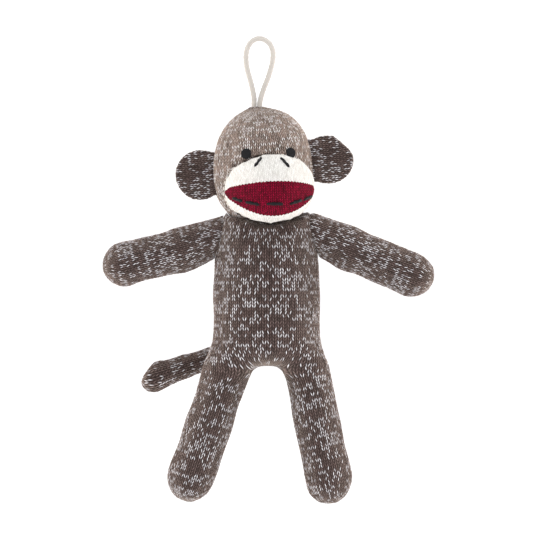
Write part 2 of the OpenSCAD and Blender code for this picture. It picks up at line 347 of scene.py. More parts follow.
# ---- Meshes from shapes ----

def surface(shape, low, high, voxel):
    """The closed quad mesh where shape is zero: vertices in millimetres and faces."""
    low = np.asarray(low, float) - 3 * voxel
    high = np.asarray(high, float) + 3 * voxel
    counts = np.ceil((high - low) / voxel).astype(int) + 1
    axes = [low[i] + voxel * np.arange(counts[i]) for i in range(3)]
    points = np.stack(np.meshgrid(*axes, indexing="ij"), -1).reshape(-1, 3)
    values = np.clip(shape(points), -3 * voxel, 3 * voxel) / voxel
    grid = openvdb.FloatGrid(3.0)
    grid.copyFromArray(values.reshape(counts).astype(np.float32))
    verts, quads = grid.convertToQuads(0.0)
    verts = np.asarray(verts, float) * voxel + low
    return verts, outward_faces(verts, np.asarray(quads, int))


def outward_faces(verts, quads):
    """Turns all faces over if the mesh is inside out."""
    a, b, c, d = (verts[quads[:, i]] for i in range(4))
    volume = np.sum(a * np.cross(b, c)) + np.sum(a * np.cross(c, d))
    return quads if volume > 0 else quads[:, ::-1]


def raw_object(name, verts, faces, scale=MM):
    mesh = bpy.data.meshes.new(name)
    corners = faces if isinstance(faces, list) else faces.tolist()
    mesh.from_pydata((np.asarray(verts) * scale).tolist(), [], corners)
    mesh.update()
    made = bpy.data.objects.new(name, mesh)
    bpy.context.scene.collection.objects.link(made)
    return made


def mesh_arrays(mesh, scale=MM):
    verts = np.zeros(len(mesh.vertices) * 3)
    mesh.vertices.foreach_get("co", verts)
    loops = np.zeros(len(mesh.loops), int)
    mesh.loops.foreach_get("vertex_index", loops)
    return verts.reshape(-1, 3) / scale, loops.reshape(-1, 4)


def evaluated_arrays(obj, scale=MM):
    graph = bpy.context.evaluated_depsgraph_get()
    mesh = obj.evaluated_get(graph).to_mesh()
    out = mesh_arrays(mesh, scale)
    obj.evaluated_get(graph).to_mesh_clear()
    return out


# The simulation runs ten times larger than life, where Blender's cloth is stable.
SIM_SCALE = 0.01
SIM_FRAMES = 16


def stuff(verts, quads, held, most=1.6, pressure=4.0):
    """Blows a cover up from inside as its stuffing does, with the held points fixed, and caps the travel."""
    cover = raw_object("cover", verts, quads, SIM_SCALE)
    group = cover.vertex_groups.new(name="sewn")
    group.add(np.nonzero(held)[0].tolist(), 1.0, "REPLACE")
    cloth = cover.modifiers.new("cloth", "CLOTH")
    cloth.settings.quality = 4
    cloth.settings.mass = 0.3
    cloth.settings.vertex_group_mass = "sewn"
    cloth.settings.use_pressure = True
    cloth.settings.uniform_pressure_force = pressure
    cloth.settings.effector_weights.gravity = 0
    cloth.collision_settings.use_collision = False
    cloth.point_cache.frame_start = 1
    cloth.point_cache.frame_end = SIM_FRAMES
    for number in range(1, SIM_FRAMES + 1):
        bpy.context.scene.frame_set(number)
    moved, _ = evaluated_arrays(cover, SIM_SCALE)
    bpy.data.objects.remove(cover)
    bpy.context.scene.frame_set(1)
    travel = moved - verts
    length = np.linalg.norm(travel, axis=1, keepdims=True)
    return verts + travel * np.minimum(1, most / np.maximum(length, 1e-9))


def finer(verts, quads, levels):
    """The mesh after smooth subdivision."""
    rough = raw_object("rough", verts, quads)
    step = rough.modifiers.new("subdivision", "SUBSURF")
    step.levels = levels
    step.render_levels = levels
    out = evaluated_arrays(rough)
    bpy.data.objects.remove(rough)
    return out


def vertex_normals(verts, faces):
    a, b, c, d = (verts[faces[:, i]] for i in range(4))
    normal = np.cross(c - a, d - b)
    out = np.zeros_like(verts)
    for i in range(4):
        np.add.at(out, faces[:, i], normal)
    return out / np.maximum(np.linalg.norm(out, axis=1, keepdims=True), 1e-12)


def lumps(p, seed, size, height):
    """Gentle unevenness of a hand-stuffed form."""
    draw = np.random.default_rng(seed)
    out = np.zeros(len(p))
    for _ in range(10):
        way = draw.normal(size=3)
        way /= np.linalg.norm(way)
        out += np.sin(p @ way * 2 * math.pi / (size * draw.uniform(0.7, 1.5)) + draw.uniform(0, 6.3))
    return out * height / math.sqrt(10)


# ---- The knit: where each point lies in wales and courses ----

def stitch_height(uv, slope):
    """Height of the yarn, 0 to 1, at a place in wales and courses: each wale is a column of V stitches."""
    u, v = uv[..., 0], uv[..., 1]
    across = np.abs(2 * (2 * u % 1) - 1)
    climb = np.abs(2 * (u % 1) - 1)
    along = (v - slope * climb) % 1
    rope = np.sqrt(np.maximum(0, 1 - across**2))
    return rope * (0.4 + 0.6 * np.sin(math.pi * along))


def corner_uv(faces, u, v):
    """Per-corner places, with faces that cross the seam line put on one side of it."""
    cu, cv = u[faces], v[faces]
    jump = cu - cu[:, :1]
    cu = np.where(np.abs(jump) > 12, cu - np.round(jump), cu)
    return np.stack([cu, cv], -1)


def arc_past(s, length, radius, distance):
    """Distance along a limb's surface: straight, then over its round end."""
    over = s > length
    angle = np.arctan2(np.maximum(s - length, 0), np.maximum(distance, 1e-6))
    return np.where(over, length + radius * angle, s)


def limb_uv(p, root, tip, radius, wales):
    """Wales run along a limb, courses go round it."""
    along = (tip - root) / np.linalg.norm(tip - root)
    side = np.cross([0, 1, 0], along)
    side /= np.linalg.norm(side)
    front = np.cross(side, along)
    q = p - root
    a, b = q @ side, q @ front
    s = q @ along
    u = wales * (np.arctan2(a, b) / (2 * math.pi))
    v = -arc_past(s, np.linalg.norm(tip - root), radius, np.hypot(a, b)) / COURSE
    return u, v


def body_uv(p):
    """Wales run down the torso, and half of them down each leg."""
    w, d = torso_half_width(p[:, 2]), torso_half_depth(p[:, 2])
    theta = np.arctan2((p[:, 0] - TORSO_X) / w, -p[:, 1] / d)
    torso_u = TORSO_WALES * theta / (2 * math.pi)
    share = smoothstep((-171 - p[:, 2]) / 22)
    u, v = torso_u.copy(), p[:, 2] / COURSE
    for side in ("left", "right"):
        sign = OUTWARD[side]
        mine = (p[:, 0] - TORSO_X) * sign >= 0
        along = (FOOT[side] - HIP[side]) / np.linalg.norm(FOOT[side] - HIP[side])
        out = np.cross([0, 1, 0], along) * -sign
        out /= np.linalg.norm(out)
        if out[0] * sign < 0:
            out = -out
        q = p - HIP[side]
        reach = np.hypot(q @ out, q[:, 1])
        phi = np.arctan2(-q[:, 1], -(q @ out)) % (2 * math.pi)
        leg_u = sign * TORSO_WALES / 2 * phi / (2 * math.pi)
        arc = arc_past(q @ along, np.linalg.norm(FOOT[side] - HIP[side]), LEG_R, reach)
        leg_v = (HIP[side][2] - arc) / COURSE
        u = np.where(mine, torso_u * (1 - share) + leg_u * share, u)
        v = np.where(mine, p[:, 2] / COURSE * (1 - share) + leg_v * share, v)
    return u, v


def head_uv(p):
    q = (p - HEAD_C) @ HEAD_TILT
    theta = np.arctan2(q[:, 0] / HEAD_S[0], -q[:, 1] / HEAD_S[1])
    t = np.linspace(-math.pi / 2, math.pi / 2, 400)
    steps = np.hypot(HEAD_S[0] * np.diff(np.cos(t)), HEAD_S[2] * np.diff(np.sin(t)))
    arc = np.concatenate([[0], np.cumsum(steps)])
    height = np.arctan2(q[:, 2] / HEAD_S[2], np.hypot(q[:, 0] / HEAD_S[0], q[:, 1] / HEAD_S[1]))
    return TORSO_WALES * theta / (2 * math.pi), np.interp(height, t, arc) / COURSE


def muzzle_uv(p):
    q = to_face(p) - MUZZLE_C
    x = MUZZLE_S[0] * np.arcsin(np.clip(q[:, 0] / MUZZLE_S[0], -1, 1))
    z = MUZZLE_S[2] * np.arcsin(np.clip(q[:, 2] / MUZZLE_S[2], -1, 1))
    return x / FINE_WALE, z / FINE_COURSE


def ear_uv(side):
    centre, axes = ear_frame(side)

    def place(p):
        q = (p - centre) @ axes
        front = np.where(q[:, 1] > 3.2 * (np.hypot(q[:, 0], q[:, 2]) / EAR_R) ** 2, 0, 40)
        return q[:, 2] / WALE + front, -q[:, 0] / COURSE

    return place


# ---- Pieces ----

def make_object(name, verts, faces, uv, normals, material):
    """A shown mesh. Its places in the knit are its UV map, so that a stitch is one unit."""
    used, index = np.unique(faces, return_inverse=True)
    piece = raw_object(name, verts[used], index.reshape(faces.shape))
    mesh = piece.data
    if uv is not None:
        layer = mesh.uv_layers.new(name="knit")
        layer.data.foreach_set("uv", uv.reshape(-1).astype(np.float32))
    mesh.shade_smooth()
    mesh.normals_split_custom_set_from_vertices(normals[used].tolist())
    mesh.materials.append(material)
    return piece


def knit_skin(
    shape, low, high, voxel, levels, place, held, seed,
    most=1.4, bumps=0.35, relief=RELIEF, slope=SLOPE, extra=None,
):
    """A stuffed cover: a shape, filled out by simulation, with its stitches raised in the mesh."""
    slack = 0.15
    verts, quads = surface(lambda p: shape(p) + slack, low, high, voxel)
    verts = stuff(verts, quads, held(verts), most)
    verts, faces = finer(verts, quads, levels)
    normals = vertex_normals(verts, faces)
    u, v = place(verts)
    calm = smoothstep((np.linalg.norm(verts - NECK, axis=1) - NECK_R - 1) / 6)
    calm = np.where(verts[:, 2] < NECK[2] - 6, calm, 1)
    rise = relief * (stitch_height(np.stack([u, v], -1), slope) - 0.75) + lumps(verts, seed, 22, bumps) * calm
    if extra is not None:
        rise += extra(verts)
    verts = verts + normals * rise[:, None]
    return verts, faces, corner_uv(faces, u, v), vertex_normals(verts, faces)


def part_of(skin, mask, name, material):
    """One piece of a skin: the faces whose centres are in the mask."""
    verts, faces, uv, normals = skin
    chosen = mask(verts[faces].mean(axis=1))
    return make_object(name, verts, faces[chosen], uv[chosen], normals, material)


# ---- Materials ----

class Graph:
    """A short way to write a material's nodes."""

    def __init__(self, name):
        self.material = bpy.data.materials.new(name)
        self.material.use_nodes = True
        self.tree = self.material.node_tree
        self.tree.nodes.clear()
        self.out = self.tree.nodes.new("ShaderNodeOutputMaterial")

    def put(self, socket, value):
        if isinstance(value, bpy.types.NodeSocket):
            self.tree.links.new(value, socket)
        else:
            socket.default_value = value

    def node(self, kind, inputs=None, **settings):
        made = self.tree.nodes.new(kind)
        for key, value in settings.items():
            setattr(made, key, value)
        for key, value in (inputs or {}).items():
            self.put(made.inputs[key], value)
        return made

    def math(self, operation, *values, clamp=False):
        made = self.node("ShaderNodeMath", operation=operation, use_clamp=clamp)
        for socket, value in zip(made.inputs, values):
            self.put(socket, value)
        return made.outputs[0]

    def mix(self, factor, a, b):
        made = self.node("ShaderNodeMix", data_type="RGBA")
        self.put(made.inputs[0], factor)
        self.put(made.inputs[6], a)
        self.put(made.inputs[7], b)
        return made.outputs[2]

    def vector(self, x, y, z=0.0):
        return self.node("ShaderNodeCombineXYZ", {"X": x, "Y": y, "Z": z}).outputs[0]

    def noise(self, vector, scale, detail=2.0, rough=0.5):
        return self.node(
            "ShaderNodeTexNoise", {"Vector": vector, "Scale": scale, "Detail": detail, "Roughness": rough}
        ).outputs[0]

    def random(self, vector):
        return self.node("ShaderNodeTexWhiteNoise", {"Vector": vector}, noise_dimensions="3D").outputs[0]


def srgb(r, g, b):
    """A colour given as 0 to 255 values on a screen, as the linear colour that the shader takes."""
    def linear(c):
        c = c / 255
        return c / 12.92 if c <= 0.04045 else ((c + 0.055) / 1.055) ** 2.4
    return (linear(r), linear(g), linear(b), 1.0)


def knit_material(
    name, dark, mid, light, fleck=None, fleck_share=0.0, sheen=0.25, groove_shade_floor=0.35, bump=0.6, slope=SLOPE
):
    """Stockinette: columns of V stitches in a yarn whose plies vary, with short runs of a pale ply if any, a
    painted highlight on the crowns of the stitch legs and painted shade in the grooves between them.
    """
    g = Graph(name)
    place = g.node("ShaderNodeUVMap", uv_map="knit").outputs[0]
    split = g.node("ShaderNodeSeparateXYZ", {"Vector": place})
    u, v = split.outputs[0], split.outputs[1]
    double = g.math("MULTIPLY", u, 2.0)
    leg = g.math("FLOOR", double)
    across = g.math("ABSOLUTE", g.math("SUBTRACT", g.math("MULTIPLY", g.math("FRACT", double), 2.0), 1.0))
    climb = g.math("ABSOLUTE", g.math("SUBTRACT", g.math("MULTIPLY", g.math("FRACT", u), 2.0), 1.0))
    climbed = g.math("SUBTRACT", v, g.math("MULTIPLY", climb, slope))
    row = g.math("FLOOR", climbed)
    along = g.math("FRACT", climbed)
    rope = g.math("SQRT", g.math("SUBTRACT", 1.0, g.math("MULTIPLY", across, across), clamp=True))
    bulge = g.math("SINE", g.math("MULTIPLY", along, math.pi))
    height = g.math("MULTIPLY", rope, g.math("ADD", g.math("MULTIPLY", bulge, 0.6), 0.4))
    # Plies twist across each leg of a stitch
    ply = g.math("SINE", g.math("ADD", g.math("MULTIPLY", along, 7.0), g.math("MULTIPLY", across, 3.0)))
    one = g.random(g.vector(leg, row, 0.0))
    two = g.random(g.vector(leg, row, 7.0))
    fibre = g.noise(g.vector(g.math("MULTIPLY", u, 2.0), v), 9.0, 3.0, 0.6)
    tone = g.math("ADD", g.math("MULTIPLY", one, 0.7), g.math("MULTIPLY", fibre, 0.6))
    tone = g.math("SUBTRACT", tone, 0.2, clamp=True)
    colour = g.mix(tone, dark, mid)
    # Painted highlight: the crowns of the stitch legs are lifted towards the light colour, most where the
    # yarn stands highest. The random amount per leg is the marled plies' own tone.
    top = g.math("MULTIPLY", g.math("POWER", height, 3.0), g.math("ADD", g.math("MULTIPLY", two, 0.5), 0.2))
    colour = g.mix(g.math("ADD", top, g.math("MULTIPLY", ply, 0.06), clamp=True), colour, light)
    if fleck is not None:
        shift = g.math("MULTIPLY", g.random(g.vector(row, 3.0, 5.0)), 60.0)
        along_row = g.math("ADD", g.math("MULTIPLY", leg, 0.11), shift)
        run = g.noise(g.vector(along_row, g.math("MULTIPLY", row, 9.37)), 1.0, 0.0)
        band = g.math("MULTIPLY", g.math("SUBTRACT", g.random(g.vector(row, 11.0, 2.0)), 0.5), 0.22)
        score = g.math("ADD", run, g.math("MULTIPLY", g.math("SUBTRACT", two, 0.5), 0.24))
        score = g.math("ADD", score, band)
        shown = g.math("GREATER_THAN", score, 1.0 - fleck_share)
        shown = g.math("MULTIPLY", shown, g.math("GREATER_THAN", one, 0.45))
        core = g.math("MULTIPLY", g.math("SUBTRACT", rope, 0.8), 8.0, clamp=True)
        core = g.math("MULTIPLY", core, g.math("MULTIPLY", g.math("SUBTRACT", bulge, 0.4), 4.0, clamp=True))
        core = g.math("MULTIPLY", core, shown)
        strength = g.math("ADD", g.math("MULTIPLY", two, 0.7), g.math("MULTIPLY", fibre, 0.5))
        colour = g.mix(core, colour, g.mix(g.math("SUBTRACT", strength, 0.1, clamp=True), fleck[0], fleck[1]))
    # Painted shade: the colour darkens from the crowns of the yarn into the grooves between stitch legs and
    # where the rows nest. The lower each knit's floor value, the darker its grooves. Knits with pale flecks
    # darken to a fixed dark brown there, the others to their dark colour.
    shade = g.math("ADD", g.math("MULTIPLY", g.math("POWER", height, 1.3), 1.0 - groove_shade_floor), groove_shade_floor, clamp=True)
    colour = g.mix(shade, srgb(30, 24, 22) if fleck is not None else dark, colour)
    relief = g.math("ADD", height, g.math("MULTIPLY", fibre, 0.25))
    bumped = g.node("ShaderNodeBump", {"Height": relief, "Strength": bump, "Distance": 0.0005})
    shader = g.node(
        "ShaderNodeBsdfPrincipled",
        {
            "Base Color": colour,
            "Roughness": 0.92,
            "Specular IOR Level": 0.15,
            "Sheen Weight": sheen,
            "Sheen Roughness": 0.45,
            "Normal": bumped.outputs[0],
        },
    )
    shader.inputs["Sheen Tint"].default_value = (1.0, 0.84, 0.72, 1.0)
    g.put(g.out.inputs[0], shader.outputs[0])
    return g.material


def thread_material(name, dark, light, scale=2500.0, roughness=0.6, sheen=0.1):
    """Twisted thread or cord: fine fibres that run with a noise, darker in the twist's grooves as painted
    shade, since the noise that sets the colour also raises the bump.
    """
    g = Graph(name)
    where = g.node("ShaderNodeTexCoord").outputs["Object"]
    fibre = g.noise(where, scale, 3.0, 0.65)
    soft = g.noise(where, scale / 12, 2.0)
    # Painted shade together with fibre tone: the colour darkens where the fibre noise, which also sets the
    # bump's height, is low.
    tone = g.math("ADD", g.math("MULTIPLY", fibre, 0.7), g.math("MULTIPLY", soft, 0.3))
    bumped = g.node("ShaderNodeBump", {"Height": fibre, "Strength": 0.35, "Distance": 0.0002})
    shader = g.node(
        "ShaderNodeBsdfPrincipled",
        {
            "Base Color": g.mix(tone, dark, light),
            "Roughness": roughness,
            "Specular IOR Level": 0.2,
            "Sheen Weight": sheen,
            "Normal": bumped.outputs[0],
        },
    )
    g.put(g.out.inputs[0], shader.outputs[0])
    return g.material


def plain_material(name, colour, glow=0.0):
    g = Graph(name)
    shader = g.node("ShaderNodeBsdfPrincipled", {"Base Color": colour, "Roughness": 0.9})
    shader.inputs["Emission Color"].default_value = colour
    shader.inputs["Emission Strength"].default_value = glow
    g.put(g.out.inputs[0], shader.outputs[0])
    return g.material


# ---- Camera, light and stage ----

def camera_and_light():
    centre = Vector((3.85, 0, -124.0)) * MM
    reach = 2.2
    camera = bpy.data.objects.new("camera", bpy.data.cameras.new("camera"))
    bpy.context.scene.collection.objects.link(camera)
    camera.location = centre + Vector((0, -reach, 0))
    camera.rotation_euler = (math.radians(90), 0, 0)
    camera.data.sensor_width = 36
    camera.data.lens = 36 * reach / 0.2932
    camera.data.clip_start = 0.05
    bpy.context.scene.camera = camera
    white, warm = (1, 1, 1), (1, 0.9, 0.83)
    for name, place, size, power, colour in (
        ("key", (-0.5, -0.9, 0.55), 0.9, 3.3, white),
        ("fill", (0.8, -0.8, 0.05), 0.9, 2.0, white),
        ("top", (0.05, -0.1, 0.75), 0.8, 4.5, white),
        ("rim", (0.0, 0.45, 0.35), 0.5, 2, white),
        ("left_side", (-0.75, 0.14, 0), 0.5, 4.8, warm),
        ("right_side", (0.75, 0.14, 0), 0.5, 4.8, warm),
    ):
        lamp = bpy.data.lights.new(name, "AREA")
        lamp.size = size
        lamp.energy = power
        lamp.color = colour
        made = bpy.data.objects.new(name, lamp)
        made.location = centre + Vector(place)
        made.visible_camera = False
        aim = centre - made.location
        made.rotation_euler = aim.to_track_quat("-Z", "Y").to_euler()
        bpy.context.scene.collection.objects.link(made)
    world = bpy.data.worlds.new("studio")
    world.use_nodes = True
    world.node_tree.nodes["Background"].inputs[0].default_value = (1, 1, 1, 1)
    world.node_tree.nodes["Background"].inputs[1].default_value = 0.5
    bpy.context.scene.world = world
    bpy.context.scene.view_settings.view_transform = "Standard"


def stage():
    """A pale floor under the feet, that curves up into a backdrop far enough back to walk round the toy."""
    level = cad_box[0][2] - 0.08
    back, curve, tall, half_width = 2.6, 0.6, 4.0, 4.5
    outline = [(-4.5, 0.0), (back, 0.0)]
    for a in np.linspace(0, math.pi / 2, 14)[1:]:
        outline.append((back + curve * math.sin(a), curve * (1 - math.cos(a))))
    outline.append((back + curve, tall))
    verts = [(x, y, level + z) for x in (-half_width, half_width) for y, z in outline]
    n = len(outline)
    faces = [(i, i + n, i + n + 1, i + 1) for i in range(n - 1)]
    floor = raw_object("floor", verts, faces, 1.0)
    floor.data.shade_smooth()
    floor.data.materials.append(plain_material("pale_floor", (0.86, 0.86, 0.86, 1), 0.55))


# ---- The hanging loop ----

# The route of the loop's cord in part.scad: x and z, in millimetres
LOOP_ROUTE = [
    (-3, -37), (-3, -35), (-3, -32), (-3.4, -29), (-4.2, -25), (-5.4, -20.5), (-6.6, -16), (-7.4, -11),
    (-7.2, -6), (-5.6, -1.8), (-3, 0.6), (0, 1.4), (3, 0.6), (5.8, -1.8), (7.4, -6), (7.2, -11), (6, -16),
    (4.6, -20.5), (2.8, -25), (1.4, -29), (0.6, -32), (0, -35), (0, -37),
]
CORD_D = 2.8


def smooth_route(points, count):
    """Points evenly along a smooth curve through the given ones."""
    p = np.asarray(points, float)
    p = np.vstack([2 * p[0] - p[1], p, 2 * p[-1] - p[-2]])
    fine = []
    for i in range(1, len(p) - 2):
        for t in np.linspace(0, 1, 24, endpoint=False):
            a, b, c, d = p[i - 1:i + 3]
            bend = (2 * a - 5 * b + 4 * c - d) * t**2 + (3 * b - a - 3 * c + d) * t**3
            fine.append(0.5 * (2 * b + (c - a) * t + bend))
    fine.append(p[-2])
    fine = np.array(fine)
    run = np.concatenate([[0], np.cumsum(np.linalg.norm(np.diff(fine, axis=0), axis=1))])
    even = np.linspace(0, run[-1], count)
    return np.stack([np.interp(even, run, fine[:, i]) for i in range(3)], -1), run[-1]


def swept(route, radius, sides, across):
    """A tube whose radius may change along it and round it: radius(s, angle), arrays in, array out."""
    tangent = np.gradient(route, axis=0)
    tangent /= np.linalg.norm(tangent, axis=1, keepdims=True)
    one = np.cross(tangent, across)
    one /= np.linalg.norm(one, axis=1, keepdims=True)
    two = np.cross(one, tangent)
    run = np.concatenate([[0], np.cumsum(np.linalg.norm(np.diff(route, axis=0), axis=1))])
    angle = np.arange(sides) * 2 * math.pi / sides
    r = radius(run[:, None], angle[None, :])
    verts = route[:, None] + r[..., None] * (
        one[:, None] * np.cos(angle)[None, :, None] + two[:, None] * np.sin(angle)[None, :, None]
    )
    n = len(route)
    i, k = np.meshgrid(np.arange(n - 1), np.arange(sides), indexing="ij")
    a, b = i * sides + k, i * sides + (k + 1) % sides
    faces = np.stack([a, b, b + sides, a + sides], -1).reshape(-1, 4)
    return verts.reshape(-1, 3), faces


def closed_ends(verts, faces, sides):
    """Faces for a swept tube with both ends filled in."""
    last = len(verts) - sides
    return faces.tolist() + [list(range(sides)), list(range(len(verts) - 1, last - 1, -1))]


def hanging_loop(material):
    route, length = smooth_route([(x, 0, z) for x, z in LOOP_ROUTE], 420)

    def radius(s, angle):
        braid = np.cos(4 * angle + s * 2 * math.pi / 5.2) * np.cos(4 * angle - s * 2 * math.pi / 5.2)
        return CORD_D / 2 * (0.95 + 0.07 * braid)

    verts, faces = swept(route, radius, 32, np.array([0, 1.0, 0]))
    loop = raw_object("loop", verts, closed_ends(verts, faces, 32))
    loop.data.shade_smooth()
    loop.data.materials.append(material)
    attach(loop, "head")
    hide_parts("hanging_loop")


# ---- Thread ----

def thread(name, lines, diameter, material, across=(0, 1.0, 0)):
    """Stitches of twisted thread, each along its own line of points, as one piece."""
    verts, faces = [], []
    for line in lines:
        route, length = smooth_route(line, max(14, int(len(line) * 6)))

        def radius(s, angle, length=length):
            ends = np.sqrt(np.clip(1 - np.abs(2 * s / length - 1) ** 8, 0.02, 1))
            return diameter / 2 * ends * (1 + 0.16 * np.cos(2 * angle - s * 2 * math.pi / (diameter * 2.2)))

        v, f = swept(route, radius, 14, np.asarray(across, float))
        faces += [[i + len(verts) for i in face] for face in closed_ends(v, f, 14)]
        verts += v.tolist()
    made = raw_object(name, verts, faces)
    made.data.shade_smooth()
    made.data.materials.append(material)
    return made


# ---- The toy ----

# Each knit below has painted shade in its stitch grooves and a painted highlight on the crowns of its stitch
# legs.
YARN = knit_material(
    "marled_brown_knit", srgb(18, 11, 10), srgb(76, 57, 55), srgb(158, 136, 132),
    (srgb(160, 154, 158), srgb(246, 245, 250)), 0.54, sheen=0.6, groove_shade_floor=0.05,
)
# A lighter copy of the brown knit for the head. It is partly painted light: the head's upward-facing dome is
# lit from above, while the torso under it stays in its shade. It is partly the same yarn looking paler where
# it is stretched over the head.
LIT_HEAD_YARN = knit_material(
    "marled_brown_knit_lit_head", srgb(38, 22, 14), srgb(176, 148, 134), srgb(252, 236, 226),
    (srgb(226, 220, 220), srgb(255, 255, 255)), 0.55, sheen=0.5, groove_shade_floor=0.03,
)
CREAM = knit_material(
    "off_white_knit", srgb(190, 187, 182), srgb(237, 236, 233), srgb(247, 246, 244),
    sheen=0.1, groove_shade_floor=0.6, bump=0.4, slope=FINE_SLOPE,
)
RED = knit_material(
    "red_knit", srgb(30, 0, 6), srgb(126, 0, 36), srgb(214, 10, 76),
    sheen=0.0, groove_shade_floor=0.1, bump=0.7, slope=FINE_SLOPE,
)
BLACK = thread_material("black_thread", srgb(4, 4, 6), srgb(30, 29, 33), sheen=0.0)
BROWN_THREAD = thread_material("brown_thread", srgb(58, 46, 42), srgb(108, 92, 86))
CREAM_THREAD = thread_material("cream_thread", srgb(206, 200, 192), srgb(246, 243, 238))
CORD = thread_material(
    "cotton_cord", srgb(166, 160, 154), srgb(210, 205, 199), scale=1800.0, roughness=0.9, sheen=0.1
)


def make_body():
    low = np.minimum(FOOT["left"], FOOT["right"]) - LEG_R - 2
    high = np.array([TORSO_HIGH[0] + 6, TORSO_HIGH[1] + 2, TORSO_HIGH[2] + 5])
    low = np.array([min(low[0], TORSO_LOW[0]) - 2, TORSO_LOW[1] - 2, low[2]])
    high[0] = max(high[0], FOOT["left"][0] + LEG_R + 2)

    def held(p):
        return p[:, 2] > TORSO_HIGH[2] - 3

    skin = knit_skin(body_shape, low, high, 3.0, 3, body_uv, held, 11)
    hip_top, hip_cut = -177.0, -201.0

    torso = part_of(skin, lambda c: c[:, 2] >= hip_top, "torso_skin", YARN)
    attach(torso, "torso")
    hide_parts("torso_cover", "torso_filling")
    for side in ("left", "right"):
        sign = OUTWARD[side]

        def mine(c, sign=sign):
            return (c[:, 0] - TORSO_X) * sign > 0

        hip = part_of(
            skin, lambda c: (c[:, 2] < hip_top) & (c[:, 2] >= hip_cut) & mine(c), f"hip_{side}_skin", YARN
        )
        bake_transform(hip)
        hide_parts(f"leg_{side}_hip_wad")
        leg = part_of(skin, lambda c: (c[:, 2] < hip_cut) & mine(c), f"leg_{side}_skin", YARN)
        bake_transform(leg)
        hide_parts(f"leg_{side}_cover", f"leg_{side}_filling")
    return BVHTree.FromPolygons(skin[0].tolist(), skin[1].tolist())


def make_arm(side):
    root, tip, sign = SHOULDER[side], HAND[side], OUTWARD[side]
    wall = root[0] - sign * (ARM_R + 0.3)
    low = np.minimum(root, tip) - ARM_R - 4
    high = np.maximum(root, tip) + ARM_R + 4

    def held(p):
        return (p[:, 0] - wall) * sign < 2.5

    def place(p):
        return limb_uv(p, root, tip, ARM_R, 35)

    skin = knit_skin(arm_shape(side), low, high, 2.6, 3, place, held, 20 + int(sign))
    cut = wall + sign * 16
    shoulder = part_of(skin, lambda c: (c[:, 0] - cut) * sign < 0, f"shoulder_{side}_skin", YARN)
    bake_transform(shoulder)
    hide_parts(f"arm_{side}_shoulder_wad", f"arm_{side}_seam")
    arm = part_of(skin, lambda c: (c[:, 0] - cut) * sign >= 0, f"arm_{side}_skin", YARN)
    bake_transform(arm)
    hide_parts(f"arm_{side}_cover", f"arm_{side}_filling")


def make_tail():
    low = np.minimum(TAIL_ROOT, TAIL_TIP) - TAIL_R - [3, 8, 3]
    high = np.maximum(TAIL_ROOT, TAIL_TIP) + TAIL_R + 3

    def held(p):
        return p[:, 0] > TAIL_ROOT[0] - 2

    def place(p):
        return limb_uv(p, TAIL_ROOT, TAIL_TIP, TAIL_R, 18)

    skin = knit_skin(tail_shape, low, high, 2.0, 3, place, held, 31, most=0.8, bumps=0.2)
    tail = part_of(skin, lambda c: c[:, 0] < 1e9, "tail_skin", YARN)
    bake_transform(tail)
    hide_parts("tail_cover", "tail_filling", "tail_seam")


def make_head():
    low, high = box_of("head_cover")

    def held(p):
        return p[:, 2] < -96

    skin = knit_skin(head_shape, low - 2, high + 4, 3.0, 3, head_uv, held, 41, extra=crown_pleats)
    head = part_of(skin, lambda c: c[:, 2] < 1e9, "head_skin", LIT_HEAD_YARN)
    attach(head, "head")
    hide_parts("head_cover", "head_filling")
    return BVHTree.FromPolygons(skin[0].tolist(), skin[1].tolist())


def crown_pleats(p):
    """The folds that run to the gathered crown."""
    q = (p - HEAD_C) @ HEAD_TILT - [-0.4, 0, HEAD_S[2]]
    r = np.hypot(q[:, 0], q[:, 1])
    near = smoothstep((12 - r) / 9) * smoothstep(r / 2.5) * (q[:, 2] > -9)
    return near * (0.45 * np.cos(13 * np.arctan2(q[:, 1], q[:, 0])) - 0.1)


def in_lips(x, z):
    """Whether a place on the muzzle, in the face's frame, is in the red almond."""
    x = x - MUZZLE_C[0] + 0.2
    z = z + 13.8
    bow = np.maximum(0, 1 - (x / 27.0) ** 2)
    corner = 1.2 * smoothstep((np.abs(x) - 22.6) / 2)
    return (z < 3.8 * bow**0.8 - corner) & (z > -14.9 * bow**0.85 + corner) & (np.abs(x) < 24.5)


def make_muzzle():
    low, high = box_of("muzzle_cover")

    def held(p):
        return ellipsoid(to_face(p), np.zeros(3), HEAD_S) < 1.5

    skin = knit_skin(
        muzzle_shape, low - 3, high + 3, 2.2, 3, muzzle_uv, held, 51,
        most=0.8, bumps=0.15, relief=0.26, slope=FINE_SLOPE,
    )
    verts, faces, uv, normals = skin
    centre = uv.mean(axis=1)
    tooth = 0.5 * (np.abs(2 * (centre[:, 0] % 1) - 1) - 0.5)
    q = to_face(verts[faces].mean(axis=1))
    x, z = q[:, 0], q[:, 2] + tooth
    ahead = q[:, 1] < -9
    red = in_lips(x, z) & ahead
    muzzle = make_object("muzzle_skin", verts, faces[~red], uv[~red], normals, CREAM)
    lips = make_object("lips_skin", verts, faces[red], uv[red], normals, RED)
    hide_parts("muzzle_cover", "muzzle_filling")
    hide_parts("lips")
    for piece, name in ((muzzle, "muzzle_knit"), (lips, "red_knit")):
        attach(piece, "head")
    return BVHTree.FromPolygons(verts.tolist(), faces.tolist())


def on_surface(tree, x, z, out):
    """The point of the face's surface behind a place that is measured from the muzzle's middle."""
    centre = middle("muzzle_cover")
    start = np.array([centre[0] + x, -80, centre[2] + z])
    hit = tree.ray_cast(Vector(start), Vector((0, 1, 0)))
    if hit[0] is None:
        print("no face surface at", x, z)
        return start + [0, 50, 0]
    return np.array(hit[0]) - [0, out, 0]


